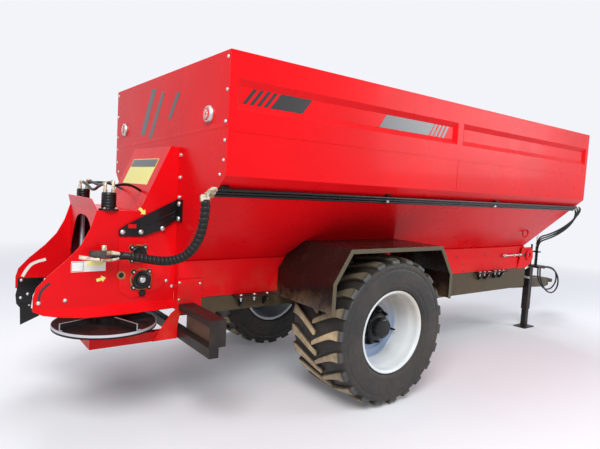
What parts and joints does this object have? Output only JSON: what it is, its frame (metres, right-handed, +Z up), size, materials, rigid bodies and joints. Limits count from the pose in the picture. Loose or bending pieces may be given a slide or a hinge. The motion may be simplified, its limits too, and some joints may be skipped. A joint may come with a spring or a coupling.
{
  "type": "trailed manure spreader",
  "caption": "Single-axle trailed spreader: red sheet hopper, floor conveyor, rear housing with vaned spreading discs, lugged flotation tyres, drawbar and parking jack.",
  "frame": {"origin": "on the ground, on the centre plane, midway between the housing's rear end and the towing eye's front", "axes": "+X forward towards the towing eye, +Y to the machine's left, +Z up"},
  "size_m": [6.59, 2.134, 2.272],
  "materials": {
    "red_paint": "gloss enamel over folded sheet",
    "dark_paint": "satin black enamel",
    "tyre_rubber": "dusty rubber",
    "rim_silver": "silver wheel paint",
    "hub_black": "black enamel",
    "hose_rubber": "black hose",
    "black_fitting": "black fittings",
    "disc_steel": "worn steel",
    "lamp_lens": "lens",
    "flap_rubber": "rubber sheet",
    "bare_steel": "zinc plated steel"
  },
  "bodies": {
    "chassis": {"apron": "red_paint", "axle": "dark_paint", "bar_panels": "dark_paint", "bracket_arm": "dark_paint", "channel_left": "red_paint", "channel_right": "red_paint", "conveyor": "bare_steel", "conveyor_front_shaft": "bare_steel", "conveyor_rear_shaft": "bare_steel", "cross_members": "dark_paint", "deflector_flaps": "flap_rubber", "deflectors": "dark_paint", "disc_motor_left": "black_fitting", "disc_motor_right": "black_fitting", "drawbar": "dark_paint", "fender_left": "dark_paint", "fender_right": "dark_paint", "floor_sheet": "bare_steel", "foot_plates": "red_paint", "front_bearing_plates": "red_paint", "guard_frame": "red_paint", "hanger_feet": "dark_paint", "hopper_brace": "red_paint", "hopper_front_wall": "red_paint", "hopper_rear_wall": "red_paint", "hopper_side_left": "red_paint", "hopper_side_right": "red_paint", "hose_clamp": "black_fitting", "hose_front_1": "hose_rubber", "hose_front_2": "hose_rubber", "hose_front_3": "hose_rubber", "hose_loop_1": "hose_rubber", "hose_loop_2": "hose_rubber", "hose_post": "dark_paint", "hose_rear": "hose_rubber", "housing_side_left": "red_paint", "housing_side_right": "red_paint", "housing_top": "red_paint", "jack_bracket": "dark_paint", "jack_tube": "dark_paint", "lifting_rings": "red_paint", "light_bar": "dark_paint", "pipe_clamps": "black_fitting", "pipe_fittings": "bare_steel", "pipes": "black_fitting", "rail_left": "dark_paint", "rail_right": "dark_paint", "rear_bearing_plates": "red_paint", "round_lamps": "lamp_lens", "side_valve": "black_fitting"},
    "wheel_right": {"hub_right": "hub_black", "rim_right": "rim_silver", "tyre_right": "tyre_rubber"},
    "wheel_left": {"hub_left": "hub_black", "rim_left": "rim_silver", "tyre_left": "tyre_rubber"},
    "disc_right": {"disc_right": "disc_steel"},
    "disc_left": {"disc_left": "disc_steel"},
    "jack_leg": {"jack_leg": "bare_steel"}
  },
  "joints": [
    {"name": "wheel_right_spin", "type": "hinge", "parent": "chassis", "child": "wheel_right", "pos_m": [-1.071, -0.79, 0.545], "axis": [0, 1, 0], "continuous": true},
    {"name": "wheel_left_spin", "type": "hinge", "parent": "chassis", "child": "wheel_left", "pos_m": [-1.071, 0.79, 0.545], "axis": [0, 1, 0], "continuous": true},
    {"name": "disc_right_spin", "type": "hinge", "parent": "chassis", "child": "disc_right", "pos_m": [-2.885, -0.315, 0.655], "axis": [0, 0, 1], "continuous": true},
    {"name": "disc_left_spin", "type": "hinge", "parent": "chassis", "child": "disc_left", "pos_m": [-2.885, 0.315, 0.655], "axis": [0, 0, 1], "continuous": true},
    {"name": "jack_leg_slide", "type": "slide", "parent": "chassis", "child": "jack_leg", "axis": [0, 0, 1], "range_m": [0, 0.2]}
  ]
}
